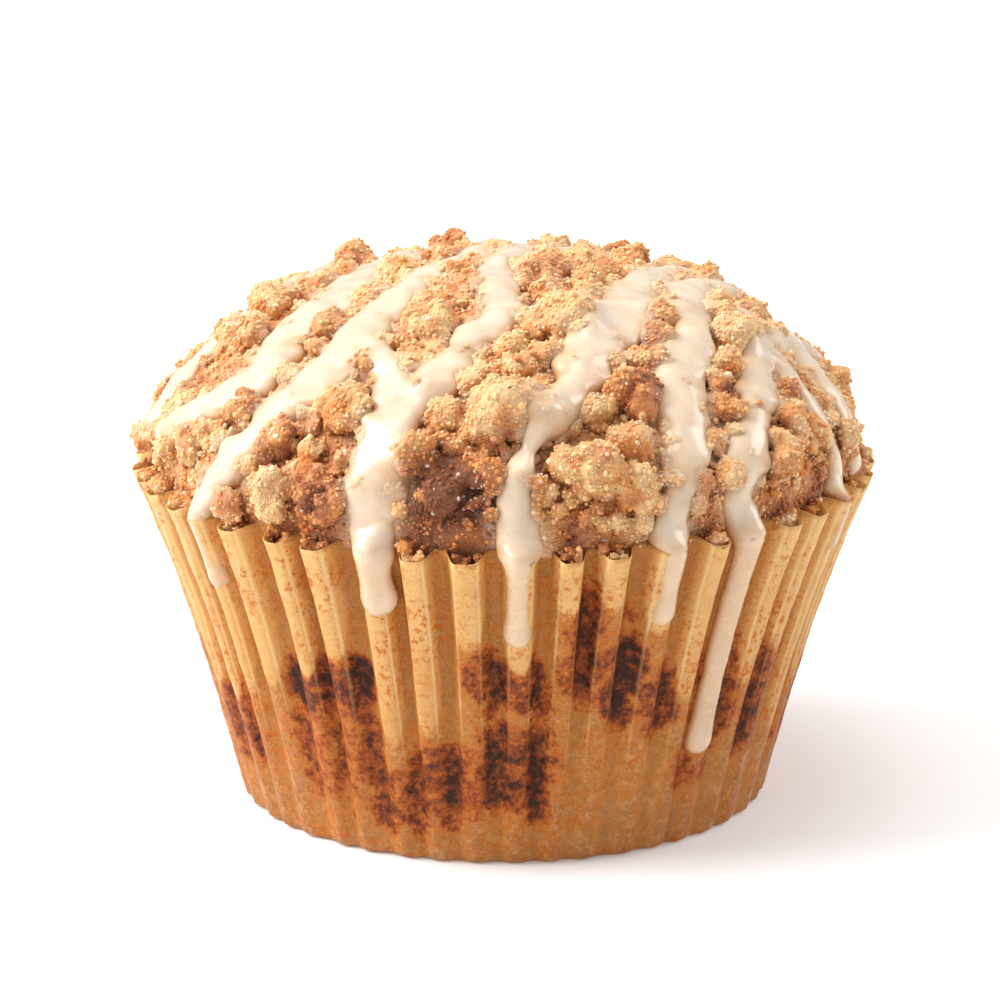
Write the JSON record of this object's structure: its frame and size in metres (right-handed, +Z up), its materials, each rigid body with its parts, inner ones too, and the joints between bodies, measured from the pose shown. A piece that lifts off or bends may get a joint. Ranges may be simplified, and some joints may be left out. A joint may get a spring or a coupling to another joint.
{
  "type": "streusel muffin in a paper cup",
  "caption": "Domed baked muffin in a pleated paper cup, topped with streusel crumbs and lines of icing that drip over the edge.",
  "frame": {"origin": "middle of the paper cup's flat underside, where it stands on a surface", "axes": "+Z up along the cup's axis; -Y is the front, where the longest icing drips hang; +X to the right seen from the front"},
  "size_m": [0.0729, 0.0764, 0.0553],
  "materials": {
    "paper": "satin",
    "crumb": "matte",
    "streusel": "matte",
    "icing": "gloss"
  },
  "bodies": {
    "root": {"paper_cup": "paper", "muffin_body": "crumb", "icing_line_1": "icing", "icing_line_2": "icing", "icing_line_3": "icing", "icing_line_4": "icing", "icing_line_5": "icing", "icing_line_6": "icing", "icing_line_7": "icing", "icing_line_8": "icing", "icing_line_9": "icing", "streusel_crumb_01": "streusel", "streusel_crumb_02": "streusel", "streusel_crumb_03": "streusel", "streusel_crumb_04": "streusel", "streusel_crumb_05": "streusel", "streusel_crumb_06": "streusel", "streusel_crumb_07": "streusel", "streusel_crumb_08": "streusel", "streusel_crumb_09": "streusel", "streusel_crumb_10": "streusel", "streusel_crumb_11": "streusel", "streusel_crumb_12": "streusel", "streusel_crumb_13": "streusel", "streusel_crumb_14": "streusel", "streusel_crumb_15": "streusel", "streusel_crumb_16": "streusel", "streusel_crumb_17": "streusel", "streusel_crumb_18": "streusel", "streusel_crumb_19": "streusel", "streusel_crumb_20": "streusel", "streusel_crumb_21": "streusel", "streusel_crumb_22": "streusel", "streusel_crumb_23": "streusel", "streusel_crumb_24": "streusel", "streusel_crumb_25": "streusel", "streusel_crumb_26": "streusel", "streusel_crumb_27": "streusel", "streusel_crumb_28": "streusel", "streusel_crumb_29": "streusel", "streusel_crumb_30": "streusel", "streusel_crumb_31": "streusel", "streusel_crumb_32": "streusel", "streusel_crumb_33": "streusel", "streusel_crumb_34": "streusel", "streusel_crumb_35": "streusel", "streusel_crumb_36": "streusel", "streusel_crumb_37": "streusel", "streusel_crumb_38": "streusel", "streusel_crumb_39": "streusel", "streusel_crumb_40": "streusel"}
  },
  "joints": []
}
